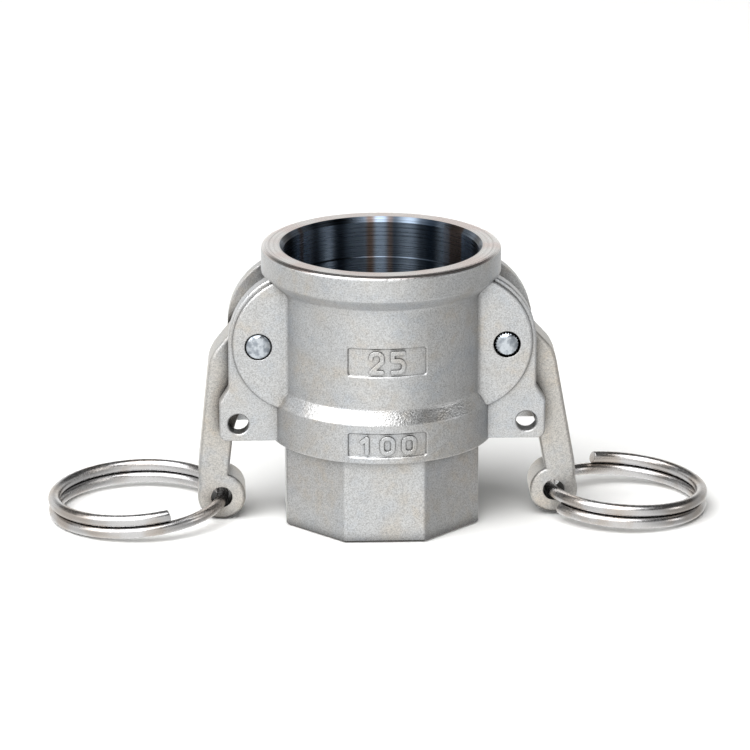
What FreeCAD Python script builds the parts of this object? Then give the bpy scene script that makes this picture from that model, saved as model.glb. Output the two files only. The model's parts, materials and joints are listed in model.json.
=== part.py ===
import FreeCAD, Part
import math
import os

# One inch camlock coupler with a female pipe thread: a cast body, a flat seal, and two cam
# levers on pressed pins, each with a split pull ring in its eye.
#
# Millimetres. +Z runs up the waterway towards the adapter, z = 0 is the threaded end, and the
# levers stand at -X and +X. The front, with the two numbered panels, faces -Y.

Vector = FreeCAD.Vector
X_AXIS, Y_AXIS, Z_AXIS = Vector(1, 0, 0), Vector(0, 1, 0), Vector(0, 0, 1)
ORIGIN = Vector(0, 0, 0)
FULL_TURN = 360.0
flat_tolerance = 1e-6
cut_past = 1.0                 # cutters run this far past the faces that they open

# ---- driving sizes ----
total_height = 53.85
socket_radius = 18.60          # at the mouth, round an adapter 36.7 across
thread_major_radius = 16.62    # one inch parallel pipe thread

# ---- cup and rim ----
cup_wall = 1.70
rim_lip = 2.57                 # how far the rim stands outside the cup
rim_band_height = 4.85         # straight side of the rim
rim_round = 0.55
rim_slope_width = 0.80         # the rim's face slopes away just inside its outer edge
rim_slope_drop = 0.38
rim_crest_round = 1.0          # between the rim's face and that slope
rim_cone_slope = 1.0           # the rim's underside climbs as far as it spreads
cup_corner_round = 1.4         # cast fillet between cup and rim, and between cup and shoulder
mouth_chamfer_width = 0.71
mouth_chamfer_depth = 0.97
socket_mouth_depth = 8.05      # down to the ledge where the bore narrows
socket_ledge = 0.20
cup_radius = socket_radius + cup_wall
rim_radius = cup_radius + rim_lip
rim_band_bottom_z = total_height - rim_band_height
rim_cone_bottom_z = rim_band_bottom_z - rim_lip * rim_cone_slope
socket_guide_radius = socket_radius - socket_ledge
socket_ledge_z = total_height - socket_mouth_depth

# ---- threaded end ----
thread_depth = 15.50
thread_mouth_chamfer = 0.45
waterway_radius = 13.50
web_thickness = 2.70           # between the thread and the seal
web_cone_height = 1.20

# ---- seal and its recess ----
seal_overhang = 1.25           # how far the seal reaches behind the socket's wall
seal_thickness = 6.35
seal_edge_round = 0.5
seal_side_clearance = 0.15
seal_top_clearance = 0.15
seal_outer_radius = socket_radius + seal_overhang
seal_inner_radius = waterway_radius
seal_seat_z = thread_depth + web_thickness

# ---- collar round the seal ----
collar_wall = 1.70
collar_foot_below_seat = 1.50
collar_top_below_seal = 0.25   # below the top of the seal
shoulder_height = 2.70
collar_round = 0.6
collar_radius = seal_outer_radius + seal_side_clearance + collar_wall
collar_bottom_z = seal_seat_z - collar_foot_below_seat
collar_top_z = seal_seat_z + seal_thickness - collar_top_below_seal

# ---- wrench octagon ----
octagon_wall = 1.78            # least metal round the thread
octagon_sides = 8
octagon_corner_round = 0.9
octagon_foot_chamfer = 0.5
octagon_across_flats = 2 * (thread_major_radius + octagon_wall)

# ---- hinge places ----
hinge_outside_bore = 5.0
hinge_below_mouth = 17.55
hinge_x = socket_radius + hinge_outside_bore
hinge_z = total_height - hinge_below_mouth

# ---- ears and lock tabs ----
slot_width = 10.0              # gap between the front and back ears
plate_thickness = 3.20
boss_height = 0.75             # the round boss stands this far out of its plate
plate_margin = 0.80            # the plate stands this far outside the boss
ear_boss_radius = 13.45
ear_centre_inside_hinge = 8.55
ear_centre_above_hinge = 0.30
tab_outside_hinge = 7.50
tab_above_collar_foot = 0.55
tab_height = 7.55
tab_slope_height = 2.90
tab_corner_round = 1.5
tab_hole_radius = 2.0
tab_hole_outside_hinge = 3.90
tab_hole_above_foot = 3.45
tab_hole_chamfer = 0.20
ear_root_depth = 6.60          # the plates start this far inside the bore, which trims them
ear_edge_round = 0.45
ear_root_fillet = 1.2          # cast fillet between an ear's face and the cup
ear_root_sink = 0.5            # the fillet's metal starts this far inside the ear and the cup
plate_face_y = slot_width / 2 + plate_thickness
ear_boss_face_y = plate_face_y + boss_height
ear_centre_x = hinge_x - ear_centre_inside_hinge
ear_centre_z = hinge_z + ear_centre_above_hinge
tab_outer_x = hinge_x + tab_outside_hinge
tab_bottom_z = collar_bottom_z + tab_above_collar_foot
tab_top_z = tab_bottom_z + tab_height
tab_slope_top_z = tab_top_z + tab_slope_height
tab_hole_x = hinge_x + tab_hole_outside_hinge
tab_hole_z = tab_bottom_z + tab_hole_above_foot
ear_root_x = socket_radius - ear_root_depth

# ---- cam windows through the cup wall ----
window_above_shoulder = 0.40
window_above_hinge = 6.70
window_bottom_z = collar_top_z + shoulder_height + window_above_shoulder
window_top_z = hinge_z + window_above_hinge

# ---- hinge pins ----
pin_radius = 2.50
pin_proud = 0.55               # how far each end stands out of the ear
pin_end_chamfer = 0.60
pin_end_round = 0.35
knurl_bite = 0.10              # the knurl's tips stand this far outside the pin
knurl_groove_depth = 0.05
knurl_length = 3.0
knurl_teeth = 24
knurl_tip_radius = pin_radius + knurl_bite
ear_hole_radius = knurl_tip_radius

# ---- ring wire and the lever's eye ----
ring_wire_radius = 1.15
ring_hole_clearance = 0.90
eye_wall = 2.55
eye_hole_radius = ring_wire_radius + ring_hole_clearance
eye_outer_radius = eye_hole_radius + eye_wall

# ---- cam levers ----
lever_eye_above_foot = 3.80    # height of the ring eye while the lever hangs straight down
lever_running_clearance = 0.05
lever_side_gap = 1.00          # each side, between the lever and its ears
lever_hub_side_clearance = 0.25
lever_hub_wall = 1.70
lever_edge_round = 0.7
cam_heel_clearance = 0.20      # from the open cam to the bore's wall
cam_nose_radius = 3.40
cam_nose_down = 0.3            # below the hinge; sideways it stands on the socket's wall
# Corners of the grip while the lever hangs straight down: outward from the hinge, down, rounding.
# The head and the hollow behind it are counted down from the hinge, the foot from the eye.
lever_head_corners = [(1.2, -3.9, 0.8), (4.6, -2.0, 3.4), (8.25, 5.6, 7.5)]
lever_foot_corners = [(5.45, -3.9, 12.0), (4.45, 0.0, 3.0), (0.2, 1.0, 1.0), (-0.5, -3.5, 3.0)]
lever_hollow_corners = [(0.75, 18.0, 14.0), (-0.9, 10.5, 5.0), (-4.2, 4.6, 1.0)]
lever_length = hinge_z - lever_eye_above_foot
lever_thickness = slot_width - 2 * lever_side_gap
lever_hub_radius = pin_radius + lever_hub_wall
cam_heel_radius = hinge_outside_bore - cam_heel_clearance
left_lever_rest_angle = 12.8   # open from vertical, as it hangs with the eye on the table
right_lever_rest_angle = 17.2

# ---- pull rings ----
ring_turn_gap = 0.05           # between neighbouring turns
ring_turns_before_eye = 0.81
ring_turns_after_eye = 0.92
ring_pieces_per_turn = 8
left_ring_mean_radius = 16.30
right_ring_mean_radius = 14.70
left_ring_slope = 3.05         # the eye end is lifted by this angle
right_ring_slope = 4.4
left_ring_roll = 2.0           # the coil rolls until front and back both touch the table
right_ring_roll = 1.0
left_ring_inset = -0.25        # wire outward from the middle of its hole
right_ring_inset = -0.45
ring_wire_drop = 0.45          # wire below the middle of the hole, where the lever rests on it

# ---- sunk panels with raised size numbers ----
panel_depth = 0.35
panel_edge_chamfer = 0.25      # the walls of the panels slope, as a pattern needs to draw
panel_width = 14.6
panel_corner_round = 0.4
panel_offset_x = 0.40
cup_panel_below_hinge = 2.60
cup_panel_height = 5.30
collar_panel_above_foot = 1.50
collar_panel_height = 4.50
digit_width = 2.10             # along the middle of the stroke
digit_stroke = 0.80
digit_gap = 2.00
digit_margin = 0.80            # from the panel's edge to the middle of the top and bottom strokes
digit_bend = 0.90              # rounding of a figure's bends
digit_below_wall = 0.04        # the figures stop just short of the wall's surface
cup_number = "25"
collar_number = "100"


# ---------------------------------------------------------------- outlines

def in_xz(a, b, y=0.0):
    """Point of an upright outline: a across, b up."""
    return Vector(a, y, b)


def in_xy(a, b, z=0.0):
    """Point of a level outline."""
    return Vector(a, b, z)


def rounded_wire(corners, place):
    """Closed wire through corners (a, b, radius), each rounded by a tangent arc."""
    points = [place(a, b) for a, b, _ in corners]
    edges, ends = [], []
    for index, (_, _, radius) in enumerate(corners):
        here = points[index]
        if radius <= 0:
            ends.append((here, here))
            continue
        back = (points[index - 1] - here).normalize()
        ahead = (points[(index + 1) % len(points)] - here).normalize()
        half = back.getAngle(ahead) / 2
        setback = radius / math.tan(half)
        middle = here + (back + ahead).normalize() * (radius / math.sin(half) - radius)
        start, finish = here + back * setback, here + ahead * setback
        edges.append((index, Part.Arc(start, middle, finish).toShape()))
        ends.append((start, finish))
    arcs = dict(edges)
    ordered = []
    for index, (_, finish) in enumerate(ends):
        if index in arcs:
            ordered.append(arcs[index])
        ordered.append(Part.LineSegment(finish, ends[(index + 1) % len(ends)][0]).toShape())
    return Part.Wire(ordered)


def stroke(corners, width):
    """Upright face of a round-ended stroke along corners (a, b, radius)."""
    edges = []
    here = in_xz(*corners[0][:2])
    for index in range(1, len(corners) - 1):
        corner = in_xz(*corners[index][:2])
        back = (in_xz(*corners[index - 1][:2]) - corner).normalize()
        ahead = (in_xz(*corners[index + 1][:2]) - corner).normalize()
        radius = corners[index][2]
        half = back.getAngle(ahead) / 2
        if radius > 0:
            setback = radius / math.tan(half)
            middle = corner + (back + ahead).normalize() * (radius / math.sin(half) - radius)
            start, finish = corner + back * setback, corner + ahead * setback
            edges.append(Part.LineSegment(here, start).toShape())
            edges.append(Part.Arc(start, middle, finish).toShape())
        else:
            finish = corner
            edges.append(Part.LineSegment(here, finish).toShape())
        here = finish
    edges.append(Part.LineSegment(here, in_xz(*corners[-1][:2])).toShape())
    return Part.Face(Part.Wire(edges).makeOffset2D(width / 2, 0, False, False))


def turned(corners):
    """Solid turned about Z from an outline (radius, height, corner rounding)."""
    return Part.Face(rounded_wire(corners, in_xz)).revolve(ORIGIN, Z_AXIS, FULL_TURN)


def slab(face, near_y, far_y):
    """Extrude a face that lies in the XZ plane so that it spans near_y to far_y."""
    moved = face.translated(Vector(0, near_y, 0))
    return moved.extrude(Vector(0, far_y - near_y, 0))


def cross_cylinder(radius, x, z, near_y, far_y):
    """Cylinder along Y."""
    return Part.makeCylinder(radius, far_y - near_y, Vector(x, near_y, z), Y_AXIS)


def block(low, high):
    """Box between two corners."""
    return Part.makeBox(high[0] - low[0], high[1] - low[1], high[2] - low[2], Vector(*low))


# ---------------------------------------------------------------- body

def body_outside():
    """Rim, cup, shoulder and collar in one turned blank, with the octagon under it."""
    blank = turned([
        (0, collar_bottom_z, 0),
        (collar_radius, collar_bottom_z, collar_round),
        (collar_radius, collar_top_z, collar_round),
        (cup_radius, collar_top_z + shoulder_height, cup_corner_round),
        (cup_radius, rim_cone_bottom_z, cup_corner_round),
        (rim_radius, rim_band_bottom_z, rim_round),
        (rim_radius, total_height - rim_slope_drop, rim_round),
        (rim_radius - rim_slope_width, total_height, rim_crest_round),
        (0, total_height, 0),
    ])
    return blank.fuse(octagon())


def octagon():
    """Wrench octagon with its flats facing X and Y."""
    corner_radius = octagon_across_flats / 2 / math.cos(math.pi / octagon_sides)
    corners = []
    for side in range(octagon_sides):
        angle = math.radians((side + 0.5) * FULL_TURN / octagon_sides)
        corners.append((corner_radius * math.cos(angle), corner_radius * math.sin(angle),
                        octagon_corner_round))
    top_z = (collar_bottom_z + seal_seat_z) / 2
    prism = Part.Face(rounded_wire(corners, in_xy)).extrude(Vector(0, 0, top_z))
    foot = [edge for edge in prism.Edges if edge.BoundBox.ZMax < octagon_foot_chamfer / 2]
    return prism.makeChamfer(octagon_foot_chamfer, foot)


def body_inside():
    """Everything that is turned out of the body: thread bore, waterway, recess, socket."""
    below_z, above_z = -cut_past, total_height + cut_past
    recess_radius = seal_outer_radius + seal_side_clearance
    recess_top_z = seal_seat_z + seal_thickness + seal_top_clearance
    mouth_z = total_height - mouth_chamfer_depth
    mouth_radius = socket_radius + mouth_chamfer_width
    return turned([
        (0, below_z, 0),
        (thread_major_radius + thread_mouth_chamfer, below_z, 0),
        (thread_major_radius + thread_mouth_chamfer, 0, 0),
        (thread_major_radius, thread_mouth_chamfer, 0),
        (thread_major_radius, thread_depth, 0),
        (waterway_radius, thread_depth + web_cone_height, 0),
        (waterway_radius, seal_seat_z, 0),
        (recess_radius, seal_seat_z, 0),
        (recess_radius, recess_top_z, 0),
        (socket_guide_radius, recess_top_z, 0),
        (socket_guide_radius, socket_ledge_z, 0),
        (socket_radius, socket_ledge_z + socket_ledge, 0),
        (socket_radius, mouth_z, 0),
        (mouth_radius, total_height, 0),
        (mouth_radius, above_z, 0),
        (0, above_z, 0),
    ])


def rounded_on_faces(solid, faces_y, radius):
    """Round the outline edges of the upright faces at the given heights along Y."""
    flat = [edge for edge in solid.Edges for face_y in faces_y
            if abs(edge.BoundBox.YMin - face_y) + abs(edge.BoundBox.YMax - face_y) < flat_tolerance]
    return solid.makeFillet(radius, flat)


def ear_root():
    """Fillet between the ear's outer face and the cup, as tall as the boss that it stands on.

    Its arc touches the face and the cup, so its centre stands a fillet outside both.
    """
    centre_y = ear_boss_face_y + ear_root_fillet
    centre = in_xy(math.sqrt((cup_radius + ear_root_fillet) ** 2 - centre_y ** 2), centre_y)
    on_face = in_xy(centre.x, ear_boss_face_y)
    on_cup = centre * (cup_radius / centre.Length)
    to_corner = ((on_face - centre) + (on_cup - centre)).normalize()
    arc = Part.Arc(on_cup, centre + to_corner * ear_root_fillet, on_face).toShape()
    sunk_y = ear_boss_face_y - ear_root_sink
    sides = Part.makePolygon([on_face, in_xy(on_face.x, sunk_y),
                              in_xy(on_cup.x - ear_root_sink, sunk_y), on_cup])
    bottom_z = collar_top_z - collar_round
    height = rim_cone_bottom_z + ear_root_fillet - bottom_z
    upright = Part.Face(Part.Wire([arc] + sides.Edges)).extrude(Vector(0, 0, height))
    boss = cross_cylinder(ear_boss_radius - ear_edge_round, ear_centre_x, ear_centre_z,
                          0, centre_y)
    return upright.translated(Vector(0, 0, bottom_z)).common(boss)


def ear(side, front):
    """One ear with its lock tab. side is -1 left or +1 right; front is -1 front or +1 back."""
    inner_y = slot_width / 2
    plate_radius = ear_boss_radius + plate_margin
    plate_edge_x = ear_centre_x + plate_radius
    low = Part.Face(rounded_wire([
        (ear_root_x, tab_bottom_z, 0),
        (tab_outer_x, tab_bottom_z, tab_corner_round),
        (tab_outer_x, tab_top_z, tab_corner_round),
        (plate_edge_x, tab_slope_top_z, tab_corner_round),
        (plate_edge_x, ear_centre_z, 0),
        (ear_root_x, ear_centre_z, 0),
    ], in_xz))
    plate = slab(low, inner_y, plate_face_y)
    disc = cross_cylinder(plate_radius, ear_centre_x, ear_centre_z, inner_y, plate_face_y)
    plate = rounded_on_faces(plate.fuse(disc).removeSplitter(), [plate_face_y], ear_edge_round)
    boss = cross_cylinder(ear_boss_radius, ear_centre_x, ear_centre_z, inner_y, ear_boss_face_y)
    boss = rounded_on_faces(boss, [ear_boss_face_y], ear_edge_round)
    shape = plate.fuse(boss).fuse(ear_root())
    if side < 0:
        shape = shape.mirror(ORIGIN, X_AXIS)
    if front < 0:
        shape = shape.mirror(ORIGIN, Y_AXIS)
    return shape


def figure_strokes(figure):
    """Strokes of one figure: corners (share of its width, share of its height, bend or not)."""
    strokes = {
        "0": [[(0.5, 1, 0), (0, 1, 1), (0, 0, 1), (0.5, 0, 0)],
              [(0.5, 1, 0), (1, 1, 1), (1, 0, 1), (0.5, 0, 0)]],
        "1": [[(0.15, 0.72, 0), (0.6, 1, 0), (0.6, 0, 0)]],
        "2": [[(0, 0.72, 0), (0, 1, 1), (1, 1, 1), (1, 0.55, 0), (0, 0, 0), (1, 0, 0)]],
        "5": [[(1, 1, 0), (0, 1, 0), (0, 0.6, 0), (1, 0.6, 1), (1, 0, 1), (0, 0, 0)]],
    }
    return strokes[figure]


def number_prism(number, bottom_z, height, near_y, far_y):
    """The strokes of a number, spaced along its panel and extruded along Y."""
    step = digit_width + digit_gap
    start = panel_offset_x - (len(number) * step - digit_gap) / 2
    pieces = []
    for place, figure in enumerate(number):
        for corners in figure_strokes(figure):
            path = [(start + place * step + a * digit_width,
                     bottom_z + digit_margin + b * (height - 2 * digit_margin),
                     bend * digit_bend) for a, b, bend in corners]
            pieces.append(slab(stroke(path, digit_stroke), near_y, far_y))
    return pieces[0].multiFuse(pieces[1:]) if len(pieces) > 1 else pieces[0]


def with_panel(shape, number, wall_radius, bottom_z, height):
    """Sink a panel into the front of a round wall and leave a number standing in it."""
    top_z = bottom_z + height
    left, right = panel_offset_x - panel_width / 2, panel_offset_x + panel_width / 2
    near_y = -wall_radius - cut_past
    window = Part.Face(rounded_wire([(left, bottom_z, panel_corner_round),
                                     (right, bottom_z, panel_corner_round),
                                     (right, top_z, panel_corner_round),
                                     (left, top_z, panel_corner_round)], in_xz))
    foot = Vector(0, 0, bottom_z - cut_past)
    floor = Part.makeCylinder(wall_radius - panel_depth, height + 2 * cut_past, foot)
    sunk = shape.cut(slab(window, near_y, 0).cut(floor))
    lip = [edge for edge in sunk.Edges if is_panel_lip(edge, wall_radius, bottom_z, top_z)]
    sunk = sunk.makeChamfer(panel_edge_chamfer, lip)
    figures = number_prism(number, bottom_z, height, near_y, 0)
    level = Part.makeCylinder(wall_radius - digit_below_wall, height + 2 * cut_past, foot)
    return sunk.fuse(figures.common(level))


def is_panel_lip(edge, wall_radius, bottom_z, top_z):
    """Is this an edge where a panel's walls meet the round wall?"""
    box = edge.BoundBox
    middle = edge.valueAt((edge.FirstParameter + edge.LastParameter) / 2)
    on_wall = abs(math.hypot(middle.x, middle.y) - wall_radius) < flat_tolerance
    inside = box.ZMin > bottom_z - flat_tolerance and box.ZMax < top_z + flat_tolerance
    return on_wall and inside and middle.y < 0 and abs(middle.x) < panel_width


def lock_hole(side):
    """Cutter for the hole through the front and back lock tabs, chamfered at their outer faces."""
    x, z = side * tab_hole_x, tab_hole_z
    reach_y = plate_face_y + cut_past
    cutter = cross_cylinder(tab_hole_radius, x, z, -reach_y, reach_y)
    wide = tab_hole_radius + tab_hole_chamfer
    for front in (-1, 1):
        cone = Part.makeCone(wide + cut_past, tab_hole_radius, cut_past + tab_hole_chamfer,
                             Vector(x, front * reach_y, z), Vector(0, -front, 0))
        cutter = cutter.fuse(cone)
    return cutter


def coupler_body():
    """The whole casting, machined."""
    shape = body_outside()
    shape = with_panel(shape, cup_number, cup_radius, hinge_z - cup_panel_below_hinge,
                       cup_panel_height)
    shape = with_panel(shape, collar_number, collar_radius,
                       collar_bottom_z + collar_panel_above_foot, collar_panel_height)
    for side in (-1, 1):
        for front in (-1, 1):
            shape = shape.fuse(ear(side, front))
    shape = shape.cut(body_inside())
    reach_y = ear_boss_face_y + cut_past
    for side in (-1, 1):
        inner_x, outer_x = sorted((side * ear_root_x, side * (rim_radius + cut_past)))
        shape = shape.cut(block((inner_x, -slot_width / 2, window_bottom_z),
                                (outer_x, slot_width / 2, window_top_z)))
        shape = shape.cut(cross_cylinder(ear_hole_radius, side * hinge_x, hinge_z,
                                         -reach_y, reach_y))
        shape = shape.cut(lock_hole(side))
    return shape.removeSplitter()


# ---------------------------------------------------------------- seal

def gasket():
    """Flat seal ring with softened edges, seated on the floor of its recess."""
    top_z = seal_seat_z + seal_thickness
    return turned([
        (seal_inner_radius, seal_seat_z, seal_edge_round),
        (seal_outer_radius, seal_seat_z, seal_edge_round),
        (seal_outer_radius, top_z, seal_edge_round),
        (seal_inner_radius, top_z, seal_edge_round),
    ])


# ---------------------------------------------------------------- pins

def hinge_pin(side):
    """Pressed pin. Its knurled end is at the back on the left and at the front on the right."""
    end_y = ear_boss_face_y + pin_proud
    tip = pin_radius - pin_end_chamfer
    outline = [(0, -end_y, 0), (tip, -end_y, pin_end_round),
               (pin_radius, -end_y + pin_end_chamfer, pin_end_round),
               (pin_radius, end_y - pin_end_chamfer, pin_end_round),
               (tip, end_y, pin_end_round), (0, end_y, 0)]
    shaft = Part.Face(rounded_wire(outline, in_xy)).revolve(ORIGIN, Y_AXIS, FULL_TURN)
    points = []
    for step in range(2 * knurl_teeth):
        radius = knurl_tip_radius if step % 2 else pin_radius - knurl_groove_depth
        angle = math.pi * step / knurl_teeth
        points.append((radius * math.cos(angle), radius * math.sin(angle), 0))
    star = Part.Face(rounded_wire(points, in_xz))
    knurl = slab(star, -ear_boss_face_y, -ear_boss_face_y + knurl_length)
    if side < 0:
        knurl = knurl.mirror(ORIGIN, Y_AXIS)
    pin = shaft.fuse(knurl).removeSplitter()
    return pin.translated(Vector(side * hinge_x, 0, hinge_z))


# ---------------------------------------------------------------- levers

def lever_point(out, down):
    """Point of the right lever's outline while it hangs straight down from the origin."""
    return Vector(out, 0, -down)


def pear(heel_radius, nose_radius):
    """Face round two circles and their outer tangents: the cam's section."""
    nose = lever_point(-hinge_outside_bore, cam_nose_down)
    along = Vector(nose).normalize()
    across = Y_AXIS.cross(along)
    lean = (heel_radius - nose_radius) / nose.Length
    square = math.sqrt(1 - lean * lean)
    first = along * lean + across * square
    second = along * lean - across * square
    edges = [
        Part.Arc(first * heel_radius, along * -heel_radius, second * heel_radius).toShape(),
        Part.LineSegment(second * heel_radius, nose + second * nose_radius).toShape(),
        Part.Arc(nose + second * nose_radius, nose + along * nose_radius,
                 nose + first * nose_radius).toShape(),
        Part.LineSegment(nose + first * nose_radius, first * heel_radius).toShape(),
    ]
    return Part.Face(Part.Wire(edges))


def lever_blank():
    """Right lever hanging straight down, its hinge at the origin, before holes."""
    half = lever_thickness / 2
    eye_z = -lever_length
    foot = [(out, lever_length + down, radius) for out, down, radius in lever_foot_corners]
    outline = lever_head_corners + foot + lever_hollow_corners
    grip = slab(Part.Face(rounded_wire(outline, lever_point)), -half, half)
    cam = slab(pear(cam_heel_radius, cam_nose_radius), -half, half)
    eye = cross_cylinder(eye_outer_radius, 0, eye_z, -half, half)
    soft = [rounded_on_faces(piece, (-half, half), lever_edge_round) for piece in (grip, cam, eye)]
    return soft[0].fuse(soft[1:])


def cam_lever(side, rest_angle):
    """Lever in its rest place, bored for its pin and its pull ring."""
    reach = slot_width
    hub_half = slot_width / 2 - lever_hub_side_clearance
    shape = lever_blank().fuse(cross_cylinder(lever_hub_radius, 0, 0, -hub_half, hub_half))
    shape = shape.cut(cross_cylinder(pin_radius + lever_running_clearance, 0, 0, -reach, reach))
    shape = shape.cut(cross_cylinder(eye_hole_radius, 0, -lever_length, -reach, reach))
    shape = shape.removeSplitter()
    shape.rotate(ORIGIN, Y_AXIS, -rest_angle)
    if side < 0:
        shape = shape.mirror(ORIGIN, X_AXIS)
    return shape.translated(Vector(side * hinge_x, 0, hinge_z))


def eye_centre(side, rest_angle):
    """Middle of a lever's ring hole at rest."""
    angle = math.radians(rest_angle)
    return Vector(side * (hinge_x + lever_length * math.sin(angle)), 0,
                  hinge_z - lever_length * math.cos(angle))


# ---------------------------------------------------------------- pull rings

def swept_wire(points, heading, radius):
    """Round wire through points, as torus pieces that each start along the last one's end."""
    here, pieces = points[0], []
    for target in points[1:]:
        chord = target - here
        ahead = chord.dot(heading)
        inward = chord - heading * ahead
        aside = inward.Length
        inward.normalize()
        bend_radius = chord.dot(chord) / (2 * aside)
        centre = here + inward * bend_radius
        axis = heading.cross(inward)
        turn = math.degrees(2 * math.atan2(aside, ahead))
        disc = Part.Face(Part.Wire(Part.makeCircle(radius, here, heading)))
        pieces.append(disc.revolve(centre, axis, turn))
        heading = FreeCAD.Rotation(axis, turn).multVec(heading)
        here = target
    return pieces[0].multiFuse(pieces[1:])


def pull_ring(side, rest_angle, mean_radius, slope, roll, inset):
    """Split ring wound down clockwise, threaded through the lever's eye, lying outward."""
    pitch = 2 * ring_wire_radius + ring_turn_gap
    eye_angle = 0.0 if side < 0 else math.pi     # the way from the ring's centre to the eye

    def wire_point(turns):
        angle = eye_angle + 2 * math.pi * turns
        return Vector(mean_radius * (side + math.cos(angle)), mean_radius * math.sin(angle),
                      pitch * turns)

    total = ring_turns_before_eye + ring_turns_after_eye
    count = math.ceil(total * ring_pieces_per_turn)
    points = [wire_point(total * step / count - ring_turns_after_eye)
              for step in range(count + 1)]
    start_angle = eye_angle - 2 * math.pi * ring_turns_after_eye
    heading = Vector(-math.sin(start_angle), math.cos(start_angle),
                     pitch / (2 * math.pi * mean_radius)).normalize()
    coil = swept_wire(points, heading, ring_wire_radius)
    coil.rotate(ORIGIN, X_AXIS, -side * roll)
    coil.rotate(ORIGIN, Y_AXIS, side * slope)
    eye = eye_centre(side, rest_angle)
    coil.translate(eye + Vector(side * inset, 0, -ring_wire_drop))
    return coil


# ---------------------------------------------------------------- files

def write_step(node, shape):
    """Write one node and report its box, so that a wrong size shows at once."""
    solid = shape.Solids[0] if len(shape.Solids) == 1 else shape
    solid.exportStep("parts/" + node + ".step")
    box = solid.BoundBox
    print("%-18s solids %d  valid %s  x %.2f %.2f  y %.2f %.2f  z %.2f %.2f  volume %.0f" % (
        node, len(shape.Solids), solid.isValid(), box.XMin, box.XMax, box.YMin, box.YMax,
        box.ZMin, box.ZMax, solid.Volume))


def main():
    """Build every node."""
    os.makedirs("parts", exist_ok=True)
    write_step("coupler_body", coupler_body())
    write_step("gasket", gasket())
    write_step("left_hinge_pin", hinge_pin(-1))
    write_step("right_hinge_pin", hinge_pin(1))
    write_step("left_cam_lever", cam_lever(-1, left_lever_rest_angle))
    write_step("right_cam_lever", cam_lever(1, right_lever_rest_angle))
    write_step("left_pull_ring", pull_ring(-1, left_lever_rest_angle, left_ring_mean_radius,
                                           left_ring_slope, left_ring_roll, left_ring_inset))
    write_step("right_pull_ring", pull_ring(1, right_lever_rest_angle, right_ring_mean_radius,
                                            right_ring_slope, right_ring_roll,
                                            right_ring_inset))


main()
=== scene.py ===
"""The looks of a one inch camlock coupler: blasted casting, turned pins, wire rings, thread and seal.

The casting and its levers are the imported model's own solids, dressed here. The rings, the hinge
pins, the seal and the thread's turns are surfaces worked out below.
"""

import json
import logging
import math
from dataclasses import dataclass, field
from enum import Enum

import bpy
import numpy as np
from mathutils import Matrix, Vector

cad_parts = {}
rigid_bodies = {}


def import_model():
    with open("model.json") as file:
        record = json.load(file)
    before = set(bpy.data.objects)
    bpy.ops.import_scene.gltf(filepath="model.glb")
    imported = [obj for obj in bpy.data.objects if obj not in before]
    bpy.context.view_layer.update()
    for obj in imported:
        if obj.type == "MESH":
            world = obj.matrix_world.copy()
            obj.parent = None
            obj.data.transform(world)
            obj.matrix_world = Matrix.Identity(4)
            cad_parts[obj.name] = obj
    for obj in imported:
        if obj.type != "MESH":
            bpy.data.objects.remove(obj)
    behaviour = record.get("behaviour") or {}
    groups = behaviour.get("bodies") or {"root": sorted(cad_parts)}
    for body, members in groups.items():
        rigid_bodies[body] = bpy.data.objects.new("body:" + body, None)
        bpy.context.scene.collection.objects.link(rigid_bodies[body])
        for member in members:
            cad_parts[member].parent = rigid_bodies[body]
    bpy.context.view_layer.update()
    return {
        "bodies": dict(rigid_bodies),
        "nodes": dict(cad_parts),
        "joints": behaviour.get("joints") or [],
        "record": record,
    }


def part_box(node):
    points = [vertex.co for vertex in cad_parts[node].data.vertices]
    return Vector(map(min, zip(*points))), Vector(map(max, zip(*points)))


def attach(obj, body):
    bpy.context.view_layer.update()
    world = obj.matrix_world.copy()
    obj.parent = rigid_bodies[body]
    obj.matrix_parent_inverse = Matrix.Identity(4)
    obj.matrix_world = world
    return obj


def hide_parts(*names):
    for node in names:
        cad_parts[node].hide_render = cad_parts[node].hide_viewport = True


MM = 0.001
FULL_TURN = 2 * math.pi
QUARTER_TURN = math.pi / 2
DRAWN = "drawn"  # the attribute that holds a wire's or a pin's own coordinates
EASED = {"interpolation_type": "SMOOTHSTEP"}  # what makes a map range ease in and out
SHARE, UNDER, OVER, BLEND = 0, 6, 7, 2  # a colour mix's three inputs and its output

log = logging.getLogger("camlock")

Socket = bpy.types.NodeSocket
Tree = bpy.types.NodeTree
Ease = tuple[float, float, float, float]  # what is read goes from, to; the answer goes from, to


class Side(Enum):
    """The two sides of the coupler, with the sign of X there."""

    LEFT = -1
    RIGHT = 1


# ---------------------------------------------------------------- shader helpers


def linear(colour: str) -> tuple[float, float, float, float]:
    """Turn an sRGB hex colour into the linear colour that shaders take.

    The numbers are those of the sRGB curve: a straight foot, then a power.

    Args:
        colour: Six hex digits.

    Returns:
        Red, green, blue and alpha, linear.
    """
    parts = [int(colour[i:i + 2], 16) / 255 for i in (0, 2, 4)]
    curve = [c / 12.92 if c <= 0.04045 else ((c + 0.055) / 1.055) ** 2.4 for c in parts]
    return curve[0], curve[1], curve[2], 1.0


def add_node(tree: Tree, kind: str, inputs: dict | tuple = (), **settings: object) -> bpy.types.Node:
    """Add one shader node.

    Args:
        tree: The material's or world's node tree.
        kind: The node's type, without its "ShaderNode" start.
        inputs: What goes into its inputs, by name or number, or a tuple for the first ones. A
            socket is linked and anything else is set as a fixed value.
        **settings: Attributes of the node itself.

    Returns:
        The new node.
    """
    node = tree.nodes.new("ShaderNode" + kind)
    for name, value in settings.items():
        setattr(node, name, value)
    for name, value in inputs.items() if isinstance(inputs, dict) else enumerate(inputs):
        if isinstance(value, bpy.types.NodeSocket):
            tree.links.new(value, node.inputs[name])
        else:
            node.inputs[name].default_value = value
    return node


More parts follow.
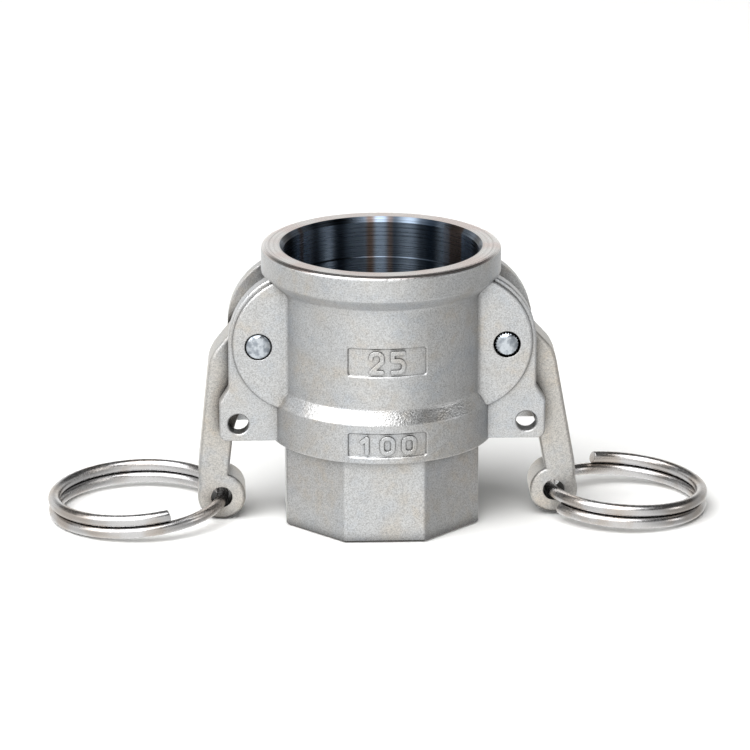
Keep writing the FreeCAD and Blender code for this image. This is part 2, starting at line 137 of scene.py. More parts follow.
def blank_material(name: str) -> tuple[bpy.types.Material, Tree]:
    """Make an empty node material.

    Args:
        name: The finish's name.

    Returns:
        The material and its cleared node tree.
    """
    material = bpy.data.materials.new(name)
    material.use_nodes = True
    material.node_tree.nodes.clear()
    return material, material.node_tree


def finish_material(material: bpy.types.Material, shader: Socket) -> bpy.types.Material:
    """Lead a shader to the material's output."""
    add_node(material.node_tree, "OutputMaterial", (shader,))
    return material


def dress(piece: bpy.types.Object, material: bpy.types.Material) -> None:
    """Give a piece one material in its only slot."""
    piece.data.materials.clear()
    piece.data.materials.append(material)


def lay(tree: Tree, under: Socket | str, over: str, pattern: Socket,
        ease: Ease | None = None) -> Socket:
    """Lay a colour over the ones below where a pattern says so.

    Args:
        tree: The node tree.
        under: The colour so far, or a hex value.
        over: The hex value of the colour on top.
        pattern: What is read. Without an ease, it is itself the share of the colour on top.
        ease: How the pattern turns into that share.

    Returns:
        The blended colour.
    """
    share = add_node(tree, "MapRange", (pattern, *ease), **EASED).outputs[0] if ease else pattern
    below = linear(under) if isinstance(under, str) else under
    blend = add_node(tree, "Mix", {SHARE: share, UNDER: below, OVER: linear(over)},
                     data_type="RGBA")
    return blend.outputs[BLEND]


def crevices(tree: Tree, reach: float, ease: Ease) -> Socket:
    """Share from 0 to 1 that rises where neighbouring walls close a place in.

    Args:
        tree: The node tree.
        reach: How far away a wall still counts, in metres.
        ease: How the open share of the sky turns into the answer.

    Returns:
        The socket with the share.
    """
    sky = add_node(tree, "AmbientOcclusion", {"Distance": reach}, samples=6).outputs["AO"]
    return add_node(tree, "MapRange", (sky, *ease), **EASED).outputs[0]


@dataclass(frozen=True)
class Spot:
    """Where a point of a surface is, read against the waterway, which is the Z axis."""

    place: Socket
    height: Socket
    radius: Socket
    around: Socket

    @classmethod
    def read(cls, tree: Tree) -> "Spot":
        """Read the place from Object coordinates, in metres, and the angle in radians.

        Args:
            tree: The material's tree.

        Returns:
            The spot.
        """
        place = add_node(tree, "TexCoord").outputs["Object"]
        x, y, height = add_node(tree, "SeparateXYZ", (place,)).outputs
        level = add_node(tree, "CombineXYZ", (x, y)).outputs[0]
        radius = add_node(tree, "VectorMath", (level,), operation="LENGTH").outputs["Value"]
        around = add_node(tree, "Math", (y, x), operation="ARCTAN2").outputs[0]
        return cls(place, height, radius, around)


# ---------------------------------------------------------------- finishes


@dataclass(frozen=True)
class BlastedCasting:
    """Investment-cast stainless steel, bead-blasted: a pale satin grey full of tiny dents.

    Bead dents are about 0.1 mm across, too fine to show, so they are drawn about 0.24 mm across.
    Under them lie faint warm and cool clouds where the shell of the mould left the steel a little
    different, and a few pits. Shade is painted nearly black where walls close a place in, and
    tumbling rubbed the edges brighter.
    """

    name: str = "blasted_stainless_casting"
    steel: str = "d6d7d8"
    warm: str = "d5d0c9"
    cool: str = "ccd0d5"
    speck: str = "8d8c8c"
    pit: str = "7b7875"
    painted_recess_shade: str = "1d1a18"
    rubbed: str = "dddddb"
    grain: float = 0.24 * MM
    grain_roughness: float = 0.7
    cloud: float = 9.0 * MM
    broad: float = 2.16 * MM
    sparkle: float = 0.408 * MM
    pit_size: float = 1.8 * MM
    dent_height: float = 0.040 * MM
    edge_round: float = 0.30 * MM
    recess_reach: float = 3.6 * MM
    warm_ease: Ease = (0.36, 0.64, 0.0, 1.0)
    steel_ease: Ease = (0.30, 0.60, 0.1, 0.85)
    speck_ease: Ease = (0.24, 0.66, 0.80, 0.0)
    pit_ease: Ease = (0.03, 0.08, 0.4, 0.0)
    rubbed_ease: Ease = (0.93, 0.995, 0.3, 0.0)
    recess_ease: Ease = (0.36, 0.90, 1.0, 0.0)
    recess_depth: float = 0.96
    rough_ease: Ease = (0.30, 0.70, 0.38, 0.50)
    coarse_height: float = 3.2
    coarse_shine: float = 0.10
    bump_strength: float = 0.5

    def colour(self, tree: Tree, spot: Spot, grain: Socket, bevel: Socket) -> Socket:
        """Lay clouds, specks, pits, rubbed edges and painted shade in recesses over each other.

        Args:
            tree: The material's tree.
            spot: Where the point is.
            grain: The dents' noise.
            bevel: The normal softened at edges.

        Returns:
            The colour socket.
        """
        cloud = add_node(tree, "TexNoise", {"Vector": spot.place, "Scale": 1 / self.cloud,
                                            "Detail": 1.0}).outputs[0]
        colour = lay(tree, self.cool, self.warm, cloud, self.warm_ease)
        broad = add_node(tree, "TexNoise", {"Vector": spot.place,
                                            "Scale": 1 / self.broad}).outputs[0]
        colour = lay(tree, colour, self.steel, broad, self.steel_ease)
        colour = lay(tree, colour, self.speck, grain, self.speck_ease)
        pits = add_node(tree, "TexVoronoi", {"Vector": spot.place, "Scale": 1 / self.pit_size})
        colour = lay(tree, colour, self.pit, pits.outputs["Distance"], self.pit_ease)
        flat = add_node(tree, "NewGeometry").outputs["True Normal"]
        turned = add_node(tree, "VectorMath", (bevel, flat), operation="DOT_PRODUCT")
        colour = lay(tree, colour, self.rubbed, turned.outputs["Value"], self.rubbed_ease)
        # painted shade: nearly black where walls, its own or a neighbouring part's, close a place in:
        # recesses, holes and gaps
        recess = add_node(tree, "Math", (
            crevices(tree, self.recess_reach, self.recess_ease), self.recess_depth),
            operation="MULTIPLY").outputs[0]
        return lay(tree, colour, self.painted_recess_shade, recess)

    def shader(self, tree: Tree, spot: Spot, coarse: Socket | None = None) -> Socket:
        """Build the cast shader.

        Args:
            tree: The material's tree.
            spot: Where the point is.
            coarse: A share from 0 to 1 of coarser, sparkling blasting, or None for none.

        Returns:
            The shader socket.
        """
        grain = add_node(tree, "TexNoise", {
            "Vector": spot.place, "Scale": 1 / self.grain, "Detail": 3.0,
            "Roughness": self.grain_roughness}).outputs[0]
        bevel = add_node(tree, "Bevel", {"Radius": self.edge_round}, samples=4).outputs[0]
        rough = add_node(tree, "MapRange", (grain, *self.rough_ease), **EASED).outputs[0]
        height = grain
        if coarse is not None:
            sparkle = add_node(tree, "TexNoise", {"Vector": spot.place, "Scale": 1 / self.sparkle,
                                                  "Detail": 1.0}).outputs[0]
            gain, shine = (add_node(tree, "Math", (coarse, most), operation="MULTIPLY").outputs[0]
                           for most in (self.coarse_height, self.coarse_shine))
            extra = add_node(tree, "Math", (sparkle, gain), operation="MULTIPLY").outputs[0]
            height = add_node(tree, "Math", (grain, extra), operation="ADD").outputs[0]
            rough = add_node(tree, "Math", (rough, shine), operation="SUBTRACT").outputs[0]
        bump = add_node(tree, "Bump", {"Height": height, "Normal": bevel,
                                       "Strength": self.bump_strength,
                                       "Distance": self.dent_height}).outputs[0]
        return add_node(tree, "BsdfPrincipled", {
            "Base Color": self.colour(tree, spot, grain, bevel), "Roughness": rough,
            "Normal": bump, "Metallic": 1.0}).outputs[0]

    def material(self) -> bpy.types.Material:
        """Make the finish for a piece that is cast all over."""
        material, tree = blank_material(self.name)
        return finish_material(material, self.shader(tree, Spot.read(tree)))


@dataclass(frozen=True)
class TurnedFace:
    """Stainless steel faced on a lathe: pale, smooth, with fine rings round the waterway.

    The tool's feed is about 0.15 mm, drawn as 0.45 mm so that the rings show.
    """

    steel: str = "d0cecd"
    blush: str = "c9bbb7"
    dull: str = "b3aeab"
    feed: float = 0.45 * MM
    cloud: float = 9 * MM
    groove: float = 0.004 * MM
    blush_ease: Ease = (0.35, 0.65, 0.0, 1.0)
    dull_ease: Ease = (0.45, 0.75, 0.0, 0.5)
    rough_ease: Ease = (0.35, 0.70, 0.24, 0.32)
    bump_strength: float = 0.4

    def shader(self, tree: Tree, spot: Spot) -> Socket:
        """Build the faced shader.

        Args:
            tree: The material's tree.
            spot: Where the point is.

        Returns:
            The shader socket.
        """
        outward = add_node(tree, "CombineXYZ", (spot.radius,)).outputs[0]
        rings = add_node(tree, "TexNoise", {"Vector": outward, "Scale": 1 / self.feed}).outputs[0]
        cloud = add_node(tree, "TexNoise", {"Vector": spot.place, "Scale": 1 / self.cloud,
                                            "Detail": 1.0}).outputs[0]
        colour = lay(tree, self.steel, self.blush, cloud, self.blush_ease)
        colour = lay(tree, colour, self.dull, rings, self.dull_ease)
        rough = add_node(tree, "MapRange", (rings, *self.rough_ease), **EASED).outputs[0]
        bump = add_node(tree, "Bump", {"Height": rings, "Strength": self.bump_strength,
                                       "Distance": self.groove}).outputs[0]
        return add_node(tree, "BsdfPrincipled", {
            "Base Color": colour, "Roughness": rough, "Normal": bump,
            "Metallic": 1.0}).outputs[0]


@dataclass(frozen=True)
class BoredWall:
    """The socket's bored wall: bright steel, dark to the eye because it mirrors its own inside.

    The boring tool left grooves that run round, so reflections smear up and down the wall. Its
    darkness, the brighter blue-grey upright bands and a few brown upright streaks are painted
    reflections in its colour. The grooves are about 0.1 mm apart, drawn 0.42 mm apart so that they
    show.
    """

    dark: str = "18202a"
    bright: str = "b4c6dc"
    painted_brown_reflection: str = "806248"
    shade: str = "14181d"
    feed: float = 0.42 * MM
    feed_roughness: float = 0.7
    groove: float = 0.010 * MM
    bands_per_radian: float = 2.3
    streaks_per_radian: float = 2.2
    streak_lacunarity: float = 2.7
    ledge: float = 45.90 * MM
    chamfer: float = 52.88 * MM
    bright_ease: Ease = (0.38, 0.62, 0.0, 1.0)
    painted_brown_reflection_ease: Ease = (0.55, 0.62, 0.0, 0.85)
    line_ease: Ease = (0.45, 0.70, 0.0, 0.4)
    ledge_ease: Ease = (0.10 * MM, 0.25 * MM, 0.75, 0.0)
    chamfer_ease: Ease = (-0.05 * MM, 0.05 * MM, 0.0, 0.55)
    rough_ease: Ease = (0.35, 0.65, 0.22, 0.36)
    bump_strength: float = 0.5
    anisotropic: float = 0.85
    across: float = 0.25

    def colour(self, tree: Tree, spot: Spot, lines: Socket) -> Socket:
        """Lay painted reflections, grooves and painted shade at ledge and chamfer over each other.

        Args:
            tree: The material's tree.
            spot: Where the point is.
            lines: The grooves' noise.

        Returns:
            The colour socket.
        """
        # painted reflections: nearly black to blue-grey upright bands, and brown upright streaks,
        # round the wall
        angle = add_node(tree, "CombineXYZ", (spot.around,)).outputs[0]
        bands = add_node(tree, "TexNoise", {"Vector": angle, "Scale": self.bands_per_radian,
                                            "Detail": 1.0}).outputs[0]
        streaks = add_node(tree, "TexNoise", {
            "Vector": angle, "Scale": self.streaks_per_radian, "Detail": 1.0,
            "Lacunarity": self.streak_lacunarity}).outputs[0]
        colour = lay(tree, self.dark, self.bright, bands, self.bright_ease)
        colour = lay(tree, colour, self.painted_brown_reflection, streaks, self.painted_brown_reflection_ease)
        colour = lay(tree, colour, self.dark, lines, self.line_ease)
        # painted shade: darker in a band at the ledge and over the mouth chamfer
        above_ledge, above_chamfer = (
            add_node(tree, "Math", (spot.height, level), operation="SUBTRACT").outputs[0]
            for level in (self.ledge, self.chamfer))
        off_ledge = add_node(tree, "Math", (above_ledge,), operation="ABSOLUTE").outputs[0]
        at_ledge, at_chamfer = (
            add_node(tree, "MapRange", (way, *ease), **EASED).outputs[0]
            for way, ease in ((off_ledge, self.ledge_ease), (above_chamfer, self.chamfer_ease)))
        shaded = add_node(tree, "Math", (at_ledge, at_chamfer), operation="MAXIMUM").outputs[0]
        return lay(tree, colour, self.shade, shaded)

    def shader(self, tree: Tree, spot: Spot) -> Socket:
        """Build the bored shader.

        Args:
            tree: The material's tree.
            spot: Where the point is.

        Returns:
            The shader socket.
        """
        turns = add_node(tree, "CombineXYZ", {2: spot.height}).outputs[0]
        lines = add_node(tree, "TexNoise", {
            "Vector": turns, "Scale": 1 / self.feed, "Detail": 3.0,
            "Roughness": self.feed_roughness}).outputs[0]
        rough = add_node(tree, "MapRange", (lines, *self.rough_ease), **EASED).outputs[0]
        bump = add_node(tree, "Bump", {"Height": lines, "Strength": self.bump_strength,
                                       "Distance": self.groove}).outputs[0]
        tangent = add_node(tree, "Tangent", direction_type="RADIAL", axis="Z").outputs[0]
        return add_node(tree, "BsdfPrincipled", {
            "Base Color": self.colour(tree, spot, lines), "Roughness": rough, "Normal": bump,
            "Tangent": tangent, "Metallic": 1.0, "Anisotropic": self.anisotropic,
            "Anisotropic Rotation": self.across}).outputs[0]


@dataclass(frozen=True)
class MachinedCasting:
    """The body's finish: blasted outside, faced at the rim and foot, bored in the socket.

    Where each begins comes from the body's own sizes: what lies inside the bored radius above the
    seal, and inside the tapped radius at any height, is bored. The last stretch at the rim and
    the foot is faced, and the cone of the shoulder, between two heights and two radii, is coarse.
    """

    total_height: float
    name: str = "machined_stainless_casting"
    bored_radius: float = 19.36 * MM
    bored_from: float = 24.10 * MM
    tapped_radius: float = 17.30 * MM
    faced_depth: float = 0.42 * MM
    foot_depth: float = 0.03 * MM
    blur: float = 0.02 * MM
    shoulder_foot: Ease = (24.05 * MM, 24.55 * MM, 0.0, 1.0)
    shoulder_top: Ease = (26.90 * MM, 27.40 * MM, 1.0, 0.0)
    shoulder_inside: Ease = (20.32 * MM, 20.42 * MM, 0.0, 1.0)
    shoulder_outside: Ease = (21.8 * MM, 22.2 * MM, 1.0, 0.0)

    def past(self, level: float) -> Ease:
        """Ease that rises at a level, over twice the blur."""
        return level - self.blur, level + self.blur, 0.0, 1.0

    def before(self, level: float) -> Ease:
        """Ease that falls at a level, over twice the blur."""
        return level - self.blur, level + self.blur, 1.0, 0.0

    def material(self) -> bpy.types.Material:
        """Mix the three finishes where the body's sizes say.

        Returns:
            The body's material.
        """
        material, tree = blank_material(self.name)
        spot = Spot.read(tree)
        rim_z = self.total_height - self.faced_depth
        above, below, outside, within, rim, foot, high, bored, tapped = (
            add_node(tree, "MapRange", (measure, *ease), **EASED).outputs[0]
            for measure, ease in (
                (spot.height, self.shoulder_foot), (spot.height, self.shoulder_top),
                (spot.radius, self.shoulder_inside), (spot.radius, self.shoulder_outside),
                (spot.height, self.past(rim_z)), (spot.height, self.before(self.foot_depth)),
                (spot.height, self.past(self.bored_from)),
                (spot.radius, self.before(self.bored_radius)),
                (spot.radius, self.before(self.tapped_radius))))
        belt = add_node(tree, "Math", (above, below), operation="MULTIPLY").outputs[0]
        cone = add_node(tree, "Math", (outside, within), operation="MULTIPLY").outputs[0]
        coarse = add_node(tree, "Math", (belt, cone), operation="MULTIPLY").outputs[0]
        ends = add_node(tree, "Math", (rim, foot), operation="MAXIMUM").outputs[0]
        socket = add_node(tree, "Math", (high, bored), operation="MULTIPLY").outputs[0]
        inside = add_node(tree, "Math", (socket, tapped), operation="MAXIMUM").outputs[0]
        cast = BlastedCasting().shader(tree, spot, coarse)
        faced = TurnedFace().shader(tree, spot)
        outer = add_node(tree, "MixShader", (ends, cast, faced)).outputs[0]
        wall = BoredWall().shader(tree, spot)
        whole = add_node(tree, "MixShader", (inside, outer, wall)).outputs[0]
        return finish_material(material, whole)


@dataclass(frozen=True)
class PieceFinish:
    """A finish that is one kind of surface all over its piece."""

    name: str

    def inputs(self, tree: Tree) -> dict:
        """Work out what goes into the shader's inputs."""
        raise NotImplementedError

    def material(self) -> bpy.types.Material:
        """Make the material from the shader's inputs.

        Returns:
            The piece's material.
        """
        material, tree = blank_material(self.name)
        shader = add_node(tree, "BsdfPrincipled", self.inputs(tree))
        return finish_material(material, shader.outputs[0])


@dataclass(frozen=True)
class SatinWire(PieceFinish):
    """Drawn stainless wire, tumbled satin: one broad soft highlight along it and dark edges.

    The drawing die leaves faint lines along the wire, drawn here 0.25 mm apart round it. Handling
    leaves a straw tint in places, and shade is painted dark in the seam between the turns.
    """

    name: str = "satin_drawn_wire"
    steel: str = "c9c8c9"
    straw: str = "b3a89e"
    seam: str = "2b2724"
    line: float = 0.25 * MM
    tint: float = 7 * MM
    scuff: float = 0.9 * MM
    noise_roughness: float = 0.6
    depth: float = 0.004 * MM
    seam_reach: float = 0.8 * MM
    straw_ease: Ease = (0.42, 0.66, 0.0, 0.7)
    seam_ease: Ease = (0.25, 0.62, 1.0, 0.0)
    rough_ease: Ease = (0.40, 0.70, 0.25, 0.31)
    line_ease: Ease = (0.4, 0.7, 0.0, 0.03)
    bump_strength: float = 0.1

    def inputs(self, tree: Tree) -> dict:
        """Read the wire's own coordinates, in metres, for its lines.

        Args:
            tree: The material's tree.

        Returns:
            What goes into the shader's inputs.
        """
        own = add_node(tree, "Attribute", attribute_name=DRAWN).outputs["Vector"]
        place = add_node(tree, "TexCoord").outputs["Object"]
        lines = add_node(tree, "TexNoise", {"Vector": own, "Scale": 1 / self.line,
                                            "Roughness": self.noise_roughness}).outputs[0]
        tint = add_node(tree, "TexNoise", {"Vector": place, "Scale": 1 / self.tint}).outputs[0]
        scuffs = add_node(tree, "TexNoise", {"Vector": place, "Scale": 1 / self.scuff, "Detail": 3.0,
                                             "Roughness": self.noise_roughness}).outputs[0]
        colour = lay(tree, self.steel, self.straw, tint, self.straw_ease)
        # painted shade: dark in the seam where the wire's turns close each other in
        colour = lay(tree, colour, self.seam, crevices(tree, self.seam_reach, self.seam_ease))
        scuffed = add_node(tree, "MapRange", (scuffs, *self.rough_ease), **EASED).outputs[0]
        lined = add_node(tree, "MapRange", (lines, *self.line_ease), **EASED).outputs[0]
        rough = add_node(tree, "Math", (scuffed, lined), operation="ADD").outputs[0]
        bump = add_node(tree, "Bump", {"Height": lines, "Strength": self.bump_strength,
                                       "Distance": self.depth}).outputs[0]
        return {"Base Color": colour, "Roughness": rough, "Normal": bump, "Metallic": 1.0}


@dataclass(frozen=True)
class RivetedPin(PieceFinish):
    """A turned steel pin, hammered home: bright facets on its crown, painted shade round its foot.

    The hammer left shallow dents about 1 mm across. Shade is painted nearly black towards the
    pin's full radius: round the crown's edge, where it meets the ear, and over the knurled shaft.
    """

    name: str = "pressed_turned_pin"
    steel: str = "c6ccd3"
    dull: str = "6c7581"
    gap_shade_and_dark_roots: str = "131518"
    dent: float = 1.3 * MM
    scuff: float = 1.0 * MM
    depth: float = 0.30 * MM
    dull_ease: Ease = (0.4, 0.65, 0.0, 0.6)
    gap_shade_and_dark_roots_ease: Ease = (2.14 * MM, 2.42 * MM, 0.0, 0.95)
    rough_ease: Ease = (0.35, 0.7, 0.17, 0.32)
    bump_strength: float = 0.6

    def inputs(self, tree: Tree) -> dict:
        """Read the distance from the pin's own axis for the painted shade.

        Args:
            tree: The material's tree.

        Returns:
            What goes into the shader's inputs.
        """
        place = add_node(tree, "TexCoord").outputs["Object"]
        dents = add_node(tree, "TexNoise", {"Vector": place, "Scale": 1 / self.dent,
                                            "Detail": 1.0}).outputs[0]
        scuffs = add_node(tree, "TexNoise", {"Vector": place, "Scale": 1 / self.scuff}).outputs[0]
        own = add_node(tree, "Attribute", attribute_name=DRAWN).outputs["Vector"]
        radius = add_node(tree, "SeparateXYZ", (own,)).outputs[0]
        colour = lay(tree, self.steel, self.dull, scuffs, self.dull_ease)
        # painted shade: nearly black towards the pin's full radius, round the crown's edge and over
        # the shaft
        colour = lay(tree, colour, self.gap_shade_and_dark_roots, radius, self.gap_shade_and_dark_roots_ease)
        rough = add_node(tree, "MapRange", (scuffs, *self.rough_ease), **EASED).outputs[0]
        bump = add_node(tree, "Bump", {"Height": dents, "Strength": self.bump_strength,
                                       "Distance": self.depth}).outputs[0]
        return {"Base Color": colour, "Roughness": rough, "Normal": bump, "Metallic": 1.0}


@dataclass(frozen=True)
class MouldedRubber(PieceFinish):
    """Moulded nitrile rubber: nearly black, matt, with a bloom of wax and a fine mould grain."""

    name: str = "moulded_nitrile_rubber"
    rubber: str = "1c1c1d"
    wax: str = "34353a"
    bloom: float = 4 * MM
    bloom_roughness: float = 0.6
    grain: float = 0.4 * MM
    depth: float = 0.02 * MM
    wax_ease: Ease = (0.45, 0.72, 0.0, 1.0)
    rough_ease: Ease = (0.35, 0.7, 0.52, 0.74)
    bump_strength: float = 0.4
    index: float = 1.52

    def inputs(self, tree: Tree) -> dict:
        """Lay the bloom over the rubber.

        Args:
            tree: The material's tree.

        Returns:
            What goes into the shader's inputs.
        """
        place = add_node(tree, "TexCoord").outputs["Object"]
        bloom = add_node(tree, "TexNoise", {"Vector": place, "Scale": 1 / self.bloom, "Detail": 4.0,
                                            "Roughness": self.bloom_roughness}).outputs[0]
        grain = add_node(tree, "TexNoise", {"Vector": place, "Scale": 1 / self.grain}).outputs[0]
        colour = lay(tree, self.rubber, self.wax, bloom, self.wax_ease)
        rough = add_node(tree, "MapRange", (bloom, *self.rough_ease), **EASED).outputs[0]
        bump = add_node(tree, "Bump", {"Height": grain, "Strength": self.bump_strength,
                                       "Distance": self.depth}).outputs[0]
        return {"Base Color": colour, "Roughness": rough, "Normal": bump, "IOR": self.index}


@dataclass(frozen=True)
class CutThread(PieceFinish):
    """A tapped steel thread: bright flanks torn a little along the cut, darker in the roots."""

    name: str = "tapped_steel_thread"
    steel: str = "a3a3a2"
    gap_shade_and_dark_roots: str = "56524e"
    torn: float = 0.5 * MM
    torn_roughness: float = 0.7
    depth: float = 0.02 * MM
    gap_shade_and_dark_roots_ease: Ease = (16.1 * MM, 16.6 * MM, 0.0, 0.8)
    rough_ease: Ease = (0.35, 0.7, 0.22, 0.42)
    bump_strength: float = 0.4

    def inputs(self, tree: Tree) -> dict:
        """Read the distance from the waterway, to darken the roots.

        Args:
            tree: The material's tree.

        Returns:
            What goes into the shader's inputs.
        """
        spot = Spot.read(tree)
        torn = add_node(tree, "TexNoise", {"Vector": spot.place, "Scale": 1 / self.torn,
                                           "Detail": 4.0, "Roughness": self.torn_roughness}).outputs[0]
        colour = lay(tree, self.steel, self.gap_shade_and_dark_roots, spot.radius, self.gap_shade_and_dark_roots_ease)
        rough = add_node(tree, "MapRange", (torn, *self.rough_ease), **EASED).outputs[0]
        bump = add_node(tree, "Bump", {"Height": torn, "Strength": self.bump_strength,
                                       "Distance": self.depth}).outputs[0]
        return {"Base Color": colour, "Roughness": rough, "Normal": bump, "Metallic": 1.0}


# ---------------------------------------------------------------- surfaces


def lay_surface(name: str, grid: np.ndarray, loop_rows: bool = False,
                cap_ends: bool = False) -> bpy.types.Object:
    """Lay a closed surface over a grid of points whose columns run round it.

    Faces join each point to its next along the row and the column. A loop joins the last row to
    the first; caps join the first and the last row to a point in the middle of each. If the
    volume that the faces enclose comes out negative they face inwards, so they are turned round.

    Args:
        name: The piece's name.
        grid: Points, rows by columns by three, in metres.
        loop_rows: Join the last row to the first.
        cap_ends: Close the first and the last row.

    Returns:
        The new object, linked to the scene.
    """
    rows, cols = grid.shape[:2]
    points = grid.reshape(-1, 3)
    row = np.arange(rows if loop_rows else rows - 1)[:, None]
    col = np.arange(cols)[None, :]
    after, beside = (row + 1) % rows, (col + 1) % cols
    corners = (row * cols + col, row * cols + beside, after * cols + beside, after * cols + col)
    quads = np.stack(np.broadcast_arrays(*corners), -1).reshape(-1, 4)
    fans = np.empty((0, 3), int)
    if cap_ends:
        points = np.vstack([points, grid[0].mean(0), grid[-1].mean(0)])
        ring, first, last = np.arange(cols), rows * cols, rows * cols + 1
        start = np.stack([ring, np.full(cols, first), (ring + 1) % cols], -1)
        base = (rows - 1) * cols
        finish = np.stack([base + (ring + 1) % cols, np.full(cols, last), base + ring], -1)
        fans = np.vstack([start, finish])
    triangles = np.vstack([quads[:, [0, 1, 2]], quads[:, [0, 2, 3]], fans])
    a, b, c = (points[triangles[:, k]] for k in range(3))
    if np.einsum("ij,ij->", a, np.cross(b, c)) < 0:
        quads, fans = quads[:, ::-1], fans[:, ::-1]
    mesh = bpy.data.meshes.new(name)
    mesh.from_pydata(points.tolist(), [], quads.tolist() + fans.tolist())
    mesh.polygons.foreach_set("use_smooth", np.ones(len(mesh.polygons), bool))
    mesh.update()
    piece = bpy.data.objects.new(name, mesh)
    bpy.context.scene.collection.objects.link(piece)
    return piece


def store_own(piece: bpy.types.Object, own: np.ndarray) -> None:
    """Store a piece's own coordinates on its points, one row of three for each point."""
    layer = piece.data.attributes.new(DRAWN, "FLOAT_VECTOR", "POINT")
    layer.data.foreach_set("vector", own.astype(np.float32).ravel())


def spin(axis: str, degrees: float) -> np.ndarray:
    """Rotation matrix about X, Y or Z by the right-hand rule."""
    return np.array(Matrix.Rotation(math.radians(degrees), 3, axis))


def set_down(piece: bpy.types.Object, body: str, node: str | None,
             material: bpy.types.Material) -> None:
    """Tell the frame what a new piece is and dress it.

    Args:
        piece: The new piece.
        body: The body that it rides on.
        node: The solid that it stands for, if any.
        material: Its finish.
    """
    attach(piece, body)
    if node:
        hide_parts(node)
    dress(piece, material)
    log.info("%s: %d faces on %s", piece.name, len(piece.data.polygons), body)


# ---------------------------------------------------------------- sub-assemblies


@dataclass
class PullRing:
    """A split ring of satin wire, wound nearly two turns and threaded through a lever's eye.

    Slope and roll tilt the ring about Y and X, in degrees. The inset moves it along X.
    """

    side: Side
    mean_radius: float
    slope: float
    roll: float
    inset: float
    end_shear: float
    wire_radius: float = 1.15 * MM
    turn_gap: float = 0.05 * MM
    turns_before_eye: float = 0.81
    turns_after_eye: float = 0.92
    wire_drop: float = 0.45 * MM
    rows: int = 420
    columns: int = 28
    end_round: float = 0.22 * MM
    end_rows: int = 7
    shear_reach: float = 3.0
    line_drift: float = 0.02

    def walk(self) -> tuple[np.ndarray, np.ndarray, float]:
        """Walk along the wire in turns, counted from the eye.

        Towards each cut end the rows crowd together as a sine does, and the wire's share of its
        full radius falls as a cosine does, which rounds the end by a quarter circle.

        Returns:
            The rows' turns, the share of the full radius at each, and the turns that one rounding
            takes up.
        """
        turns = np.linspace(-self.turns_after_eye, self.turns_before_eye, self.rows)
        rounding = self.end_round / (FULL_TURN * self.mean_radius)
        steps = np.linspace(0, QUARTER_TURN, self.end_rows)
        lead = turns[0] + rounding * (1 - np.sin(steps))
        tail = turns[-1] - rounding * (1 - np.sin(steps))
        body = turns[(turns > lead[0]) & (turns < tail[0])]
        share = 1 - self.end_round / self.wire_radius * (1 - np.cos(steps))
        return (np.concatenate([lead[::-1], body, tail]),
                np.concatenate([share[::-1], np.ones(len(body)), share]), rounding)

    def wind(self, turns: np.ndarray, share: np.ndarray, rounding: float) -> np.ndarray:
        """Wind the wire about an upright axis.

        The wire's middle goes round a circle and drops evenly: a helix. Each row is a circle in
        the plane across the helix. At both ends the rows lean along the wire by the shear of the
        cutter, and the lean dies away as an exponential.

        Args:
            turns: Where each row is, in turns from the eye.
            share: Share of the wire's radius at each row.
            rounding: The turns that one end's rounding takes up.

        Returns:
            Points, rows by columns by three, with the eye at the origin.
        """
        sign = self.side.value
        pitch = 2 * self.wire_radius + self.turn_gap
        angle = (0.0 if sign < 0 else math.pi) + FULL_TURN * turns
        flat = np.zeros_like(angle)
        radial = np.stack([np.cos(angle), np.sin(angle), flat], -1)
        offset = np.stack([flat + sign * self.mean_radius, flat, pitch * turns], -1)
        middle = radial * self.mean_radius + offset
        ahead = np.gradient(middle, axis=0)
        ahead /= np.linalg.norm(ahead, axis=1, keepdims=True)
        upward = np.cross(ahead, radial)
        around = np.linspace(0, FULL_TURN, self.columns, endpoint=False)[None, :, None]
        spread = self.wire_radius * share[:, None, None]
        grid = middle[:, None] + spread * (np.cos(around) * radial[:, None]
                                           + np.sin(around) * upward[:, None])
        near_start, near_tail = (
            np.exp(-np.clip(way / rounding, 0, None) / self.shear_reach)[:, None, None]
            for way in (turns - turns[0], turns[-1] - turns))
        lean = self.end_shear * spread * np.sin(around)
        return grid + ahead[:, None] * lean * (near_tail - near_start)

    def own_coordinates(self, turns: np.ndarray) -> np.ndarray:
        """The wire's own coordinates: a circle across it and a slow drift along it.

        Args:
            turns: Where each row is, in turns from the eye.

        Returns:
            One row of three for each point, those of the two end caps last.
        """
        around = np.linspace(0, FULL_TURN, self.columns, endpoint=False)[None, :]
        along = (turns - turns[0]) * FULL_TURN * self.mean_radius * self.line_drift
        own = np.stack(np.broadcast_arrays(
            self.wire_radius * np.cos(around), self.wire_radius * np.sin(around),
            along[:, None]), -1).reshape(-1, 3)
        return np.vstack([own, [0, 0, along[0]], [0, 0, along[-1]]])

    def build(self, eye: np.ndarray) -> bpy.types.Object:
        """Wind the ring, tilt it and hang it in the eye.

        Args:
            eye: Middle of the lever's eye, in metres.

        Returns:
            The ring, with its own wire coordinates stored on its points.
        """
        sign = self.side.value
        turns, share, rounding = self.walk()
        tilt = spin("Y", sign * self.slope) @ spin("X", -sign * self.roll)
        hang = eye + np.array([sign * self.inset, 0, -self.wire_drop])
        grid = self.wind(turns, share, rounding) @ tilt.T + hang
        ring = lay_surface(f"{self.side.name.lower()}_split_ring", grid, cap_ends=True)
        store_own(ring, self.own_coordinates(turns))
        return ring


